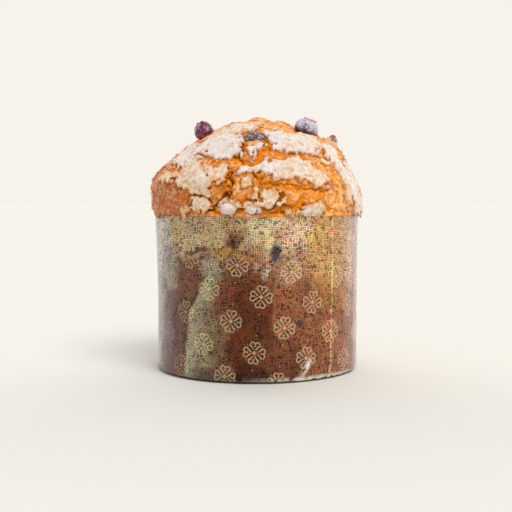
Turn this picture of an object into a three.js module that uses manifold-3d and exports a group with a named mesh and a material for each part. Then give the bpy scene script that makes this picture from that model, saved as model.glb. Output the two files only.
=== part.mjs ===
// A tall domed sweet loaf (panettone) in its printed baking-paper mould, with whole blueberries and almonds
// on the dome. Millimetres, +Z up. The origin is the centre of the paper base's underside, the front is -Y.
// The mould is two papers glued together: a band with an overlapped side seam and a folded-in bottom
// margin, and a round base under that margin. The loaf fills the mould and mushrooms over its rim.
import * as THREE from "three";
import { mergeVertices } from "three/addons/utils/BufferGeometryUtils.js";
import Module from "manifold-3d";

const wasm = await Module();
wasm.setup();

// Driving dimensions.
const BASE_RADIUS = 65.8; // outside of the paper band just above its bottom corner
const RIM_RADIUS = 66.9; // outside of the paper band at its rim
const MOULD_HEIGHT = 101;
const PAPER = 0.5; // two plies and their glue
const GAP = 0.3; // between touching pieces
const CORNER_RADIUS = 2.5; // of the fold between the band and its bottom margin
const MARGIN_WIDTH = 12; // bottom margin folded in under the loaf
const BASE_DISC_RADIUS = 60;
const SEAM_AZIMUTH = THREE.MathUtils.degToRad(42.5); // from the front towards the right
const SEAM_WIDTH = THREE.MathUtils.degToRad(12); // overlap of the band's two ends
const CROWN_HEIGHT = 161.6; // top of the dome on the axis
const AROUND = 72; // faces round the mould and the loaf

const quarterTurn = Math.PI / 2;

// Heights that follow from the paper's layers.
const marginBottom = PAPER + GAP;
const marginTop = marginBottom + PAPER;
const crumbBottom = marginTop + GAP;
const shelf = MOULD_HEIGHT + GAP; // underside of the crust where it hangs over the rim

function outerRadius(z) {
  return THREE.MathUtils.lerp(BASE_RADIUS, RIM_RADIUS, z / MOULD_HEIGHT);
}

function point(r, z) {
  return new THREE.Vector2(r, z);
}

// Points on a quarter circle from straight down to straight outwards.
function cornerArc(centreR, centreZ, radius) {
  const steps = 4;
  return Array.from({ length: steps + 1 }, (_, i) => {
    const turn = (quarterTurn * i) / steps;
    return point(centreR + radius * Math.sin(turn), centreZ - radius * Math.cos(turn));
  });
}

// A profile of radius and height turned about +Z. Azimuth 0 is the front and grows towards the right.
function turned(profile, segments) {
  return new THREE.LatheGeometry(profile, segments).rotateX(quarterTurn);
}

// Moves every vertex: move(azimuth, radius, height, row of the profile) gives its new radius and height.
function reshaped(geometry, rows, move) {
  const place = geometry.getAttribute("position");
  for (let i = 0; i < place.count; i += 1) {
    const azimuth = Math.atan2(place.getX(i), -place.getY(i));
    const radius = Math.hypot(place.getX(i), place.getY(i));
    const moved = move(azimuth, radius, place.getZ(i), i % rows);
    place.setXYZ(i, moved.x * Math.sin(azimuth), -moved.x * Math.cos(azimuth), moved.y);
  }
  return geometry;
}

// Boolean helpers: geometry to solid and back.
function solid(geometry) {
  const bare = geometry.clone();
  bare.deleteAttribute("normal");
  bare.deleteAttribute("uv");
  const merged = mergeVertices(bare, 1e-3);
  return new wasm.Manifold(
    new wasm.Mesh({
      numProp: 3,
      vertProperties: new Float32Array(merged.getAttribute("position").array),
      triVerts: new Uint32Array(merged.getIndex().array),
    }),
  );
}

function geometryOf(manifold) {
  const mesh = manifold.getMesh();
  const geometry = new THREE.BufferGeometry();
  geometry.setAttribute("position", new THREE.BufferAttribute(new Float32Array(mesh.vertProperties), 3));
  geometry.setIndex(new THREE.BufferAttribute(new Uint32Array(mesh.triVerts), 1));
  return geometry;
}

function piece(name, geometry, color, roughness) {
  const material = new THREE.MeshStandardMaterial({ color, roughness, metalness: 0 });
  const mesh = new THREE.Mesh(geometry, material);
  mesh.name = name;
  return mesh;
}

// Paper band: a thin wall that flares slightly, with its bottom margin folded in. Its two ends overlap
// in an upright seam, where the outer face stands one paper proud.
function mouldWall() {
  const cornerCentreR = BASE_RADIUS - CORNER_RADIUS;
  const cornerCentreZ = marginBottom + CORNER_RADIUS;
  const marginInside = cornerCentreR - MARGIN_WIDTH;
  const outside = [
    point(marginInside, marginBottom),
    ...cornerArc(cornerCentreR, cornerCentreZ, CORNER_RADIUS),
    point(RIM_RADIUS, MOULD_HEIGHT),
  ];
  const inside = [
    point(RIM_RADIUS - PAPER, MOULD_HEIGHT),
    ...cornerArc(cornerCentreR, cornerCentreZ, CORNER_RADIUS - PAPER).reverse(),
    point(marginInside, marginTop),
  ];
  const profile = [...outside, ...inside, outside[0].clone()];
  const lastOutside = outside.length - 1;
  const geometry = turned(profile, AROUND);
  return reshaped(geometry, profile.length, (azimuth, r, z, row) => {
    const inSeam = azimuth > SEAM_AZIMUTH && azimuth < SEAM_AZIMUTH + SEAM_WIDTH;
    const onWall = row > 0 && row <= lastOutside && z > cornerCentreZ;
    return point(inSeam && onWall ? r + PAPER : r, z);
  });
}

// Paper base: a flat disc glued under the folded margin. The object rests on it.
function mouldBase() {
  return turned([point(0, 0), point(BASE_DISC_RADIUS, 0), point(BASE_DISC_RADIUS, PAPER), point(0, PAPER)], AROUND);
}

// Outlines of the dome on its left and right sides, from the shelf over the rim to the crown. The left
// side has a sharp knee and a straight shoulder, the right side is rounder and a little narrower.
const leftOutline = [
  [67.6, shelf], [69.2, 106], [69.4, 113], [70.4, 119.5], [67.6, 126], [60, 134.2],
  [51, 141.5], [43, 148], [34, 153.8], [22, 158.8], [10, 161.2], [0, CROWN_HEIGHT],
];
const rightOutline = [
  [67.2, shelf], [68.7, 107], [68.4, 113], [66.8, 121], [62.8, 127.6], [58.6, 135],
  [55, 142], [47.5, 148.5], [37, 154], [24, 159.2], [11, 161.3], [0, CROWN_HEIGHT],
];

function domeCurve(outline) {
  return new THREE.SplineCurve(outline.map(([r, z]) => point(r, z)));
}

// Swellings and dents of the baked dome: a few low waves on its front and back, which fade at the rim,
// at the crown and towards the two sides that the outlines describe.
function swelling(azimuth, climb) {
  const fade = Math.sin(Math.PI * Math.min(1, climb * 1.15)) * Math.cos(azimuth) ** 2;
  const waves = 0.9 * Math.sin(3 * azimuth + 1.1) + 0.6 * Math.sin(5 * azimuth - 4 * climb + 0.4);
  return fade * (waves + 0.5 * Math.cos(8 * azimuth + 9 * climb));
}

// Knobs where the crust burst on top: x, y, height, width.
const knobs = [
  [1, -5, 2.4, 6],
  [11, -2, 1.2, 7],
  [-16, -4, 1.0, 6],
];

function knobRise(x, y) {
  return knobs.reduce(
    (sum, [cx, cy, height, width]) => sum + height * Math.exp(-((x - cx) ** 2 + (y - cy) ** 2) / width ** 2),
    0,
  );
}

// The loaf: one baked solid. Its lower half has the mould's shape, its sole sinks inside the folded
// margin onto the base, and the dome hangs over the rim.
function loafBody() {
  const inner = PAPER + GAP;
  const cornerCentreR = BASE_RADIUS - CORNER_RADIUS;
  const soleRadius = cornerCentreR - MARGIN_WIDTH - GAP;
  const lower = [
    point(0, PAPER + GAP),
    point(soleRadius, PAPER + GAP),
    point(soleRadius, crumbBottom),
    ...cornerArc(cornerCentreR, marginBottom + CORNER_RADIUS, CORNER_RADIUS - inner),
    point(outerRadius(MOULD_HEIGHT / 2) - inner, MOULD_HEIGHT / 2),
    point(RIM_RADIUS - inner, shelf),
  ];
  const left = domeCurve(leftOutline);
  const right = domeCurve(rightOutline);
  const domeRows = 22;
  const climbs = Array.from({ length: domeRows + 1 }, (_, i) => i / domeRows);
  const profile = [
    ...lower,
    ...climbs.map((climb) => left.getPoint(climb).lerp(right.getPoint(climb), 0.5)),
  ];
  profile[profile.length - 1].x = 0;
  return reshaped(turned(profile, AROUND), profile.length, (azimuth, r, z, row) => {
    const climb = climbs[row - lower.length];
    if (climb === undefined) return point(r, z);
    const rightness = (1 + Math.sin(azimuth)) / 2;
    const place = left.getPoint(climb).lerp(right.getPoint(climb), rightness);
    if (climb === 0 || climb === 1) return point(climb ? 0 : place.x, place.y);
    const grown = place.x * (1 + swelling(azimuth, climb) / RIM_RADIUS);
    const x = grown * Math.sin(azimuth);
    const y = -grown * Math.cos(azimuth);
    return point(grown, place.y + knobRise(x, y) + 0.4 * swelling(azimuth, climb));
  });
}

// A blueberry: a squat ball with a shallow crater at its blossom end, pointing along +Z until it is tilted.
function berry() {
  const ball = [-90, -70, -50, -30, -10, 10, 30, 50, 68].map((degrees) => {
    const angle = THREE.MathUtils.degToRad(degrees);
    return point(Math.cos(angle), Math.sin(angle));
  });
  ball[0].x = 0;
  const calyx = [point(0.3, 1.0), point(0.2, 0.84), point(0, 0.82)];
  return turned([...ball, ...calyx], 18);
}

// An almond kernel: a pointed oval, flatter one way than the other, point down.
function almond() {
  const outline = [
    [0, -1], [0.3, -0.78], [0.62, -0.42], [0.88, 0.05], [0.97, 0.4], [0.86, 0.7], [0.5, 0.94], [0, 1],
  ];
  return turned(outline.map(([r, z]) => point(r, z)), 18);
}

// What sits on the dome: centre, half sizes, tilt about X and Y in degrees, and colour.
const toppings = [
  { name: "blueberry_right", shape: berry, at: [31.5, -14, 156.3], half: [7.9, 7.6, 6.7], tilt: [10, 22], color: 0x6f6a80 },
  { name: "blueberry_left", shape: berry, at: [-34.8, -9, 155.2], half: [6.5, 6.3, 5.9], tilt: [-12, -18], color: 0x6b2440 },
  { name: "blueberry_top", shape: berry, at: [-1.6, -40.5, 148.2], half: [7.8, 5.6, 4.6], tilt: [48, 0], color: 0x3d3140 },
  { name: "blueberry_rim_left", shape: berry, at: [-16.9, -63.6, 105.9], half: [6.0, 4.4, 5.2], tilt: [76, -6], color: 0xb9aabf },
  { name: "blueberry_rim_right", shape: berry, at: [-2.1, -64.8, 105.5], half: [6.6, 4.0, 5.0], tilt: [80, 8], color: 0xaf9fb8 },
  { name: "blueberry_back_right", shape: berry, at: [22, 37, 151.6], half: [7.2, 7.0, 6.2], tilt: [-30, 14], color: 0x5c4a66 },
  { name: "blueberry_back_left", shape: berry, at: [-42, 33, 141.6], half: [6.8, 6.6, 6.0], tilt: [-26, -34], color: 0x5a2c48 },
  { name: "almond_right", shape: almond, at: [45.9, -15, 146], half: [4.6, 3.9, 6.4], tilt: [8, 24], color: 0xb98a5c },
  { name: "almond_back", shape: almond, at: [-8, 53, 138.6], half: [4.4, 3.8, 6.6], tilt: [-52, -6], color: 0xb08050 },
];

function placeTopping(mesh, topping, growth) {
  mesh.position.set(...topping.at);
  mesh.rotation.set(...topping.tilt.map(THREE.MathUtils.degToRad), 0);
  mesh.scale.set(...topping.half.map((size) => size + growth));
}

// The hole that a topping leaves in the crust, clear of it all round.
function socket(topping) {
  const mesh = new THREE.Mesh(topping.shape());
  placeTopping(mesh, topping, GAP);
  mesh.updateMatrixWorld(true);
  return solid(mesh.geometry.applyMatrix4(mesh.matrixWorld));
}

// The loaf with every socket cut. A sliver of crust that a socket cuts loose at the rim is left out.
function loaf() {
  const cut = toppings.reduce((body, topping) => body.subtract(socket(topping)), solid(loafBody()));
  const bodies = cut.decompose().sort((a, b) => b.volume() - a.volume());
  return geometryOf(bodies[0]);
}

const panettone = new THREE.Group();

const mould = new THREE.Group();
mould.add(piece("mould_wall", mouldWall(), 0x8f6f50, 0.6));
mould.add(piece("mould_base", mouldBase(), 0x8a6444, 0.8));
panettone.add(mould);

panettone.add(piece("loaf", loaf(), 0xd08a4c, 0.8));

for (const topping of toppings) {
  const mesh = piece(topping.name, topping.shape(), topping.color, 0.6);
  placeTopping(mesh, topping, 0);
  panettone.add(mesh);
}

export default panettone;
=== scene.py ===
import math
import random

import bpy
import numpy as np
from mathutils import Matrix, Vector, noise


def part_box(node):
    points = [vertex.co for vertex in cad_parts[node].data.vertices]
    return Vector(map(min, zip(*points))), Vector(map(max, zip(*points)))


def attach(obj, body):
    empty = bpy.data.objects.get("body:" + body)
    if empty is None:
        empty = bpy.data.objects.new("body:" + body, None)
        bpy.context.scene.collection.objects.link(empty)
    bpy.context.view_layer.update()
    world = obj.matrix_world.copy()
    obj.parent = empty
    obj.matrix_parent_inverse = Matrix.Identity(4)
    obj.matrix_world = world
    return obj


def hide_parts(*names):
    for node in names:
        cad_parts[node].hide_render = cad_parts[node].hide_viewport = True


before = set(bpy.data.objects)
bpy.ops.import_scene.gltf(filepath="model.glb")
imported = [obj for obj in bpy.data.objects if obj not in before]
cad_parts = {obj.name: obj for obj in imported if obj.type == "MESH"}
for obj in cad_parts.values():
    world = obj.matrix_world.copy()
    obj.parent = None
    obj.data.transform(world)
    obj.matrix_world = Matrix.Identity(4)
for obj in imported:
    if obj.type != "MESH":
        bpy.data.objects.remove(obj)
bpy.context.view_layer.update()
mm = 0.001


# Camera. It stands two thirds of a metre in front of the loaf, a little above the mould's rim, and looks
# slightly down, so that the wall is seen almost square on and the dome from its side.
camera_distance = 667 * mm
camera_height = 116.1 * mm
camera_left = 0.9 * mm
camera_down = math.radians(3.66)
bpy.ops.object.camera_add(
    location=(-camera_left, -camera_distance, camera_height),
    rotation=(math.pi / 2 - camera_down, 0, 0),
)
camera = bpy.context.object
camera.data.sensor_width = 36
camera.data.lens = 70.9
camera.data.clip_start = 0.01
bpy.context.scene.camera = camera
bpy.context.scene.view_settings.view_transform = "Standard"


# Studio. A pale warm floor, an even pale surround and one large soft lamp above the front right. The
# floor's shade under that light is that of the surround, so the horizon hardly shows.
def tint(red, green, blue):
    """A colour given as 0 to 255, as Blender's linear colour."""
    channels = [c / 255 for c in (red, green, blue)]
    linear = [c / 12.92 if c <= 0.04045 else ((c + 0.055) / 1.055) ** 2.4 for c in channels]
    return (*linear, 1.0)


class Recipe:
    """A tree of nodes. Each method adds nodes to it and gives back their output."""

    def __init__(self, tree):
        self.tree = tree

    def feed(self, socket, given):
        if isinstance(given, bpy.types.NodeSocket):
            self.tree.links.new(given, socket)
        else:
            socket.default_value = given

    def add(self, kind, *inputs, **settings):
        made = self.tree.nodes.new(kind)
        for key, setting in settings.items():
            setattr(made, key, setting)
        for socket, given in inputs:
            self.feed(made.inputs[socket], given)
        return made

    def math(self, operation, a, b=0.0, c=0.0, clamp=False):
        inputs = [(0, a), (1, b), (2, c)]
        return self.add("ShaderNodeMath", *inputs, operation=operation, use_clamp=clamp).outputs[0]

    def times(self, a, b):
        return self.math("MULTIPLY", a, b)

    def apart(self, a, b):
        """How far a number is from another, either way."""
        return self.math("ABSOLUTE", self.math("SUBTRACT", a, b))

    def vector(self, operation, a, b=(0, 0, 0), scale=None):
        inputs = [(0, a), (1, b)]
        if scale is not None:
            inputs = [(0, a), ("Scale", scale)]
        made = self.add("ShaderNodeVectorMath", *inputs, operation=operation)
        return made.outputs["Value" if operation in ("LENGTH", "DOT_PRODUCT") else "Vector"]

    def split(self, where):
        """The x, y and z of a place."""
        return self.add("ShaderNodeSeparateXYZ", (0, where)).outputs

    def joined(self, x, y):
        return self.add("ShaderNodeCombineXYZ", (0, x), (1, y)).outputs[0]

    def step(self, amount, low, high):
        """0 below low, 1 above high, and a smooth change between them. low may be above high."""
        if low > high:
            return self.math("SUBTRACT", 1.0, self.step(amount, high, low))
        inputs = [(0, amount), (1, low), (2, high)]
        return self.add("ShaderNodeMapRange", *inputs, interpolation_type="SMOOTHSTEP").outputs[0]

    def scaled(self, amount, low, high):
        """An amount of 0 to 1 as low to high."""
        inputs = [(0, amount), (1, 0.0), (2, 1.0), (3, low), (4, high)]
        return self.add("ShaderNodeMapRange", *inputs).outputs[0]

    def mix(self, share, a, b, mode="MIX"):
        inputs = [(0, share), (6, a), (7, b)]
        return self.add("ShaderNodeMix", *inputs, data_type="RGBA", blend_type=mode).outputs[2]

    def layered(self, ground, *layers):
        """Colours laid one over another on the ground. Each says where, its tint, and how strongly."""
        for share, colour, strength in layers:
            ground = self.mix(self.times(share, strength), ground, tint(*colour))
        return ground

    def noise(self, where, size, detail=2.0, rough=0.5, output="Fac"):
        inputs = [("Vector", where), ("Scale", 1 / size), ("Detail", detail), ("Roughness", rough)]
        return self.add("ShaderNodeTexNoise", *inputs).outputs[output]

    def cells(self, where, size, output="Distance"):
        return self.add("ShaderNodeTexVoronoi", ("Vector", where), ("Scale", 1 / size)).outputs[output]

    def mark(self, name, output="Fac"):
        """What the mesh holds at each of its points under that name."""
        return self.add("ShaderNodeAttribute", attribute_name=name).outputs[output]

    def place(self):
        return self.add("ShaderNodeTexCoord").outputs["Object"]

    def bump(self, height, depth):
        return self.add("ShaderNodeBump", ("Height", height), ("Distance", depth)).outputs[0]


class Finish(Recipe):
    """The recipe of one surface, with its own material."""

    def __init__(self, name):
        self.material = bpy.data.materials.new(name)
        self.material.use_nodes = True
        super().__init__(self.material.node_tree)

    def finish(self, **sockets):
        """Sets the shader's own sockets, by their names with _ for a space."""
        shader = self.tree.nodes["Principled BSDF"]
        for name, given in sockets.items():
            self.feed(shader.inputs[name.replace("_", " ")], given)
        return self.material


surround = tint(247, 243, 234)
lamp_turn = math.radians(28)
lamp_rise = math.radians(52)
even_light = 0.52
backdrop_light = 4.2

# The surround lights the loaf evenly from all round and above, and more strongly from low behind it,
# where a pale backdrop stands; that is what whitens the paper at its left and right edges.
world = bpy.data.worlds.new("studio_surround")
bpy.context.scene.world = world
world.use_nodes = True
sky = Recipe(world.node_tree)
direction = sky.split(sky.add("ShaderNodeTexCoord").outputs["Generated"])
behind = sky.step(direction["Y"], 0.2, 0.75)
low_down = sky.step(direction["Z"], 0.75, 0.3)
lit = world.node_tree.nodes["Background"]
sky.feed(lit.inputs["Color"], (1.0, 0.985, 0.965, 1.0))
sky.feed(lit.inputs["Strength"], sky.scaled(sky.times(behind, low_down), even_light, backdrop_light))
seen = sky.add("ShaderNodeBackground", ("Color", surround))
to_camera = sky.add("ShaderNodeLightPath").outputs["Is Camera Ray"]
shown = sky.add("ShaderNodeMixShader", (0, to_camera), (1, lit.outputs[0]), (2, seen.outputs[0]))
sky.feed(world.node_tree.nodes["World Output"].inputs["Surface"], shown.outputs[0])

bpy.ops.object.light_add(
    type="SUN",
    rotation=(math.pi / 2 - lamp_rise, 0, lamp_turn),
)
lamp = bpy.context.object
lamp.data.energy = 2.0
lamp.data.angle = math.radians(35)
lamp.data.color = (1.0, 0.98, 0.95)

# How bright a white floor is under this light, in red, green and blue.
floor_light = (1.345, 1.32, 1.285)
floor_drop = 0.2 * mm
bpy.ops.object.select_all(action="DESELECT")
bpy.ops.mesh.primitive_circle_add(vertices=96, radius=9, fill_type="NGON", location=(0, 0, -floor_drop))
floor = bpy.context.object
floor.name = "studio_floor"
floor_paint = Finish("floor_paint")
floor_grain = floor_paint.noise(floor_paint.place(), 4 * mm, detail=3)
pale = [shown_part / light_part for shown_part, light_part in zip(surround, floor_light)]
grain_shade = [part * 0.995 for part in pale]
floor_shade = floor_paint.mix(floor_grain, (*grain_shade, 1.0), (*pale, 1.0))
floor.data.materials.append(
    floor_paint.finish(Base_Color=floor_shade, Roughness=1.0, Specular_IOR_Level=0.0)
)


# Paper band. A strip of printed baking paper rolled into a tube and glued down its overlap, with its lower
# edge folded in under the loaf. The dough's butter has soaked most of it brown; only the rim and a few
# folds stayed dry and pale.
def smooth(amount, low, high):
    """0 below low, 1 above high, and a smooth change between them."""
    share = np.clip((amount - low) / (high - low), 0, 1)
    return share * share * (3 - 2 * share)


def hill(amount, middle, half_width):
    """1 at the middle, falling softly away on both sides."""
    return np.exp(-(((amount - middle) / half_width) ** 2))


def places_of(piece):
    flat = np.zeros(len(piece.data.vertices) * 3)
    piece.data.vertices.foreach_get("co", flat)
    return flat.reshape(-1, 3)


def move_to(piece, places):
    piece.data.vertices.foreach_set("co", places.ravel())
    piece.data.update()


def set_mark(piece, name, amounts):
    """Keeps a number at each point of the mesh, for the material to read."""
    made = piece.data.attributes.new(name, "FLOAT", "POINT")
    made.data.foreach_set("value", np.ascontiguousarray(amounts, dtype=np.float32))


def lumps(places, size, octaves, seed):
    """Soft noise of about -1 to 1 at each place, in lumps of that size and ever smaller ones."""
    shift = Vector((seed, 2.3 * seed, -1.7 * seed))
    return np.array([noise.fractal(Vector(p) / size + shift, 1.0, 2.0, octaves) for p in places])


def on_ring(azimuth, radius, height):
    """A place from its azimuth in radians (0 is the front, growing to the right), radius and height."""
    return np.stack([radius * np.sin(azimuth), -radius * np.cos(azimuth), height], axis=-1)


def select_only(piece):
    bpy.ops.object.select_all(action="DESELECT")
    piece.select_set(True)
    bpy.context.view_layer.objects.active = piece


def apply_modifier(piece, kind, **settings):
    select_only(piece)
    made = piece.modifiers.new(kind.lower(), kind)
    for key, setting in settings.items():
        setattr(made, key, setting)
    bpy.ops.object.modifier_apply(modifier=made.name)


def in_edit_mode(piece, work):
    """Does the work on the piece in edit mode, with all of it selected."""
    select_only(piece)
    bpy.ops.object.mode_set(mode="EDIT")
    bpy.ops.mesh.select_all(action="SELECT")
    work()
    bpy.ops.object.mode_set(mode="OBJECT")


band_low, band_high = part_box("mould_wall")
rim_height = band_high.z
base_radius = 65.8 * mm
rim_radius = 66.9 * mm
paper = 0.5 * mm
margin_height = band_low.z
margin_width = 12 * mm
corner = 2.5 * mm
seam_turn = math.radians(42.5)
lap = 12  # degrees of overlap
corner_length = corner * math.pi / 2
band_length = margin_width + corner_length + rim_height - margin_height - corner
print_radius = base_radius * 1.009
cells_around = 352
cells_up = 94

bpy.ops.object.select_all(action="DESELECT")
bpy.ops.mesh.primitive_grid_add(x_subdivisions=cells_around, y_subdivisions=cells_up, size=1)
band = bpy.context.object
band.name = "paper_band"
flat_places = places_of(band)
along = flat_places[:, 0] + 0.5
up_sheet = (flat_places[:, 1] + 0.5) * band_length
turn = seam_turn + along * math.radians(360 + lap)

# The sheet's own run: in along the margin, round the corner, then up the wall.
in_corner = np.clip((up_sheet - margin_width) / corner_length, 0, 1)
bend = in_corner * math.pi / 2
run_up = np.clip(up_sheet - margin_width - corner_length, 0, None)
run_in = np.clip(margin_width - up_sheet, 0, None)
height = margin_height + corner * (1 - np.cos(bend)) + run_up
flare = (rim_radius - base_radius) * height / rim_height
radius = base_radius - corner + corner * np.sin(bend) - run_in + flare

# Print coordinates: distance round the sheet and height, in metres.
sheet_print = np.stack([turn * print_radius, height - run_in], axis=-1)
print_map = band.data.uv_layers.new(name="print")
points_of_faces = np.zeros(len(band.data.loops), dtype=np.int32)
band.data.loops.foreach_get("vertex_index", points_of_faces)
print_map.data.foreach_set("uv", sheet_print[points_of_faces].ravel())

# Unevenness, in mm outwards: it is pinched at half height on the left and leans in on the right, waves
# softly, is crushed at its foot, most of all at the lower right, and has one short slanted fold there.
azimuth = np.degrees((turn + math.pi) % (2 * math.pi) - math.pi)
on_wall = smooth(height, 2 * mm, 14 * mm)
rise = height / rim_height
side_reach = 50
left_pinch = (0.4 - 4.4 * rise * (1 - rise)) * hill(azimuth, -90, side_reach)
right_lean = (-0.7 * rise - 0.8 * rise * (1 - rise)) * hill(azimuth, 90, side_reach)
tube = on_ring(turn, base_radius, height)
waves = lumps(tube * (1, 1, 0.3), 34 * mm, 2, seed=3) * 0.35
puckers = lumps(tube * (1, 1, 0.45), 9 * mm, 2, seed=5) * 0.12
crushed_turn = 36
crushed = hill(azimuth, crushed_turn, 20) * (1 - smooth(height, 3 * mm, 11 * mm))
crushed += 0.35 * (1 - smooth(height, 1 * mm, 7 * mm))
crumple = np.abs(lumps(tube, 6 * mm, 3, seed=8)) * crushed * -2.2
fold_height = 9 * mm
fold_at = (height - 5 * mm) / mm * 0.45 + 25
fold = hill(azimuth, fold_at, 1.3) * hill(height, fold_height, 5 * mm) * 0.6
radius = radius + ((waves + puckers) * on_wall + left_pinch + right_lean + crumple + fold) * mm
rim_wave = lumps(tube, 5 * mm, 2, seed=9) * smooth(rise, 0.96, 1.0)
height = height + rim_wave * 0.25 * mm

# The overlap: the first end lies outside and the last end inside, a little over one paper apart.
from_seam = np.degrees(turn - seam_turn)
lap_gap = 1.1 * paper
radius = radius + (1 - smooth(from_seam, lap, 2 * lap)) * on_wall * lap_gap
height = height + smooth(from_seam, 352, 360) * (1 - on_wall) * lap_gap
move_to(band, on_ring(turn, radius, height))


# Stains, laid one over another as a painter would. The ground is butter-soaked brown; over it come darker
# pools, the dry pale parts, small marks and one pale grey row of painted reflection at the far left edge. The
# last seven
# are on the back. Each row says: azimuth, height in mm, half width in degrees, half height in mm, colour,
# strength.
def linear_tint(colour):
    return np.array(tint(*colour)[:3])


def paint(tone, colour, cover):
    """The colour laid over the tone at each point, as far as the cover says."""
    return tone + (linear_tint(colour) - tone) * cover[:, None]


stains = [
    (50, 50, 58, 70, (146, 88, 56), 1.0),
    (-4, 34, 12, 34, (90, 42, 4), 0.95),
    (-4, 4, 10, 8, (64, 30, 10), 0.85),
    (14, 14, 10, 18, (104, 56, 34), 0.8),
    (-62, 30, 14, 34, (104, 76, 70), 0.9),
    (-42, 45, 8, 22, (108, 70, 48), 0.7),
    (-45, 92, 62, 15, (184, 160, 124), 1.0),
    (6, 91, 8, 13, (206, 184, 150), 0.95),
    (21, 90, 9, 13, (208, 182, 148), 0.9),
    (18, 72, 9, 12, (174, 136, 104), 0.7),
    (40, 82, 14, 24, (196, 152, 96), 1.0),
    (42, 55, 12, 12, (172, 116, 64), 0.7),
    (60, 80, 9, 24, (196, 158, 122), 0.85),
    (80, 60, 12, 60, (156, 130, 116), 0.8),
    # Painted reflection: the far left edge painted pale grey for the sheen of the bright surround there.
    (-80, 50, 14, 62, (160, 152, 148), 0.75),
    (-66, 84, 14, 18, (172, 164, 150), 0.9),
    (-56, 68, 8, 12, (150, 138, 122), 0.8),
    (11, 91, 4, 5, (182, 138, 100), 0.7),
    (-12, 92, 7, 8, (170, 136, 92), 0.7),
    (-13, 84, 6, 5, (118, 80, 42), 0.9),
    (-13, 82, 2.8, 3.4, (58, 34, 18), 0.85),
    (-17, 79, 8, 2.6, (176, 128, 62), 0.9),
    (-5, 76, 7, 3, (160, 112, 60), 0.8),
    (-25, 69, 7, 7, (160, 146, 120), 0.95),
    (-28, 56, 5, 9, (132, 114, 84), 0.8),
    (-29, 40, 8, 10, (132, 114, 86), 0.9),
    (-34, 20, 9, 13, (138, 128, 98), 0.95),
    (-22, 22, 5, 12, (116, 98, 72), 0.7),
    (-28, 4, 14, 5, (88, 76, 58), 0.8),
    (4, 70, 3.6, 4.2, (192, 174, 152), 0.7),
    (-34, 79.5, 9, 1.7, (76, 40, 30), 0.85),
    (10, 80, 4.2, 4.2, (66, 56, 64), 1.0),
    (23.5, 37.5, 2.8, 3.0, (84, 60, 66), 0.9),
    (42, 11, 2.6, 2.8, (76, 56, 60), 0.9),
    (150, 92, 70, 14, (176, 158, 126), 0.9),
    (-150, 92, 60, 15, (184, 164, 130), 0.9),
    (128, 34, 16, 26, (110, 66, 40), 0.8),
    (172, 60, 12, 26, (168, 146, 108), 0.8),
    (-140, 48, 12, 24, (142, 124, 92), 0.8),
    (-112, 22, 16, 18, (104, 62, 38), 0.8),
    (-170, 20, 14, 14, (98, 56, 32), 0.8),
]
ragged_turn = azimuth + 4.0 * lumps(tube, 9 * mm, 4, seed=11)
ragged_height = height / mm + 3.6 * lumps(tube, 8 * mm, 4, seed=12)
mottle = lumps(tube, 14 * mm, 4, seed=13)[:, None]
tone = np.tile(linear_tint((116, 70, 46)), (len(turn), 1))
for stain_turn, stain_height, wide, high, colour, strength in stains:
    away = (ragged_turn - stain_turn + 180) % 360 - 180
    reach = np.abs(away / wide) ** 2.4 + np.abs((ragged_height - stain_height) / high) ** 2.4
    tone = paint(tone, colour, strength * (1 - smooth(reach, 0.3, 1.7)))
tone = tone * (1 + 0.2 * mottle) * 0.94
patchy = lumps(tube, 5 * mm, 4, seed=14)[:, None]
olive = lumps(tube, 10 * mm, 3, seed=16)[:, None]
tone = tone * (1 + 0.28 * patchy) * (1 + olive * np.array([-0.06, 0.07, -0.1]))

# One long fold at the left front, drawn in colour only: a pale band along one side of it, and painted shade
# in a darker band along the other.
fold_turn = np.interp(height / mm, [0, 42, 70], [-43.5, -39.5, -24])
past_fold = azimuth - fold_turn
fold_end = 1 - smooth(rise, 0.5, 0.7)
fold_pale = smooth(past_fold, -0.8, 0.4) * (1 - smooth(past_fold, 1.5, 12)) * fold_end
fold_painted_shade = smooth(past_fold, -5, -0.8) * (1 - smooth(past_fold, -0.8, 0)) * fold_end
tone = paint(tone, (184, 178, 152), 0.5 * fold_pale)
# Painted shade: the tone darkened beside the fold.
tone = tone * (1 - 0.35 * fold_painted_shade)[:, None]
# Dryness is read from how pale the tone is, the painted reflection at the left edge included.
dry = smooth(tone.mean(axis=1), 0.1, 0.34)

# The sheet's cut end at the seam is a bare tan line. White fibres are rubbed up on the crushed lower edge,
# and the crest of the short fold is painted white as a painted highlight.
ragged = lumps(tube, 3 * mm, 3, seed=15)
cut_end = (1 - smooth((turn - seam_turn) * base_radius, 0.9 * mm, 1.5 * mm)) * smooth(ragged, -0.5, 0.2)
lower_edge = hill(azimuth, crushed_turn, 28) * (1 - smooth(height, 1.4 * mm, 4.4 * mm))
crest_highlight = hill(azimuth, fold_at, 1.5) * hill(height, fold_height, 4 * mm)
rubbed_and_highlight = lower_edge * smooth(ragged, -0.35, -0.05) + crest_highlight * smooth(ragged, -0.6, -0.1)
rubbed_and_highlight = cut_end * 0.1 + 1.5 * rubbed_and_highlight
tone = paint(tone, (226, 178, 126), 0.8 * cut_end)

tone_mark = band.data.attributes.new("tone", "FLOAT_COLOR", "POINT")
tone_mark.data.foreach_set("color", np.column_stack([tone, np.ones(len(turn))]).ravel())
set_mark(band, "dry", dry)
set_mark(band, "faint", hill(azimuth, -62, 20))
set_mark(band, "rubbed_and_highlight", np.clip(rubbed_and_highlight, 0, 1))
apply_modifier(band, "SOLIDIFY", thickness=paper, offset=-1)
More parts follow.
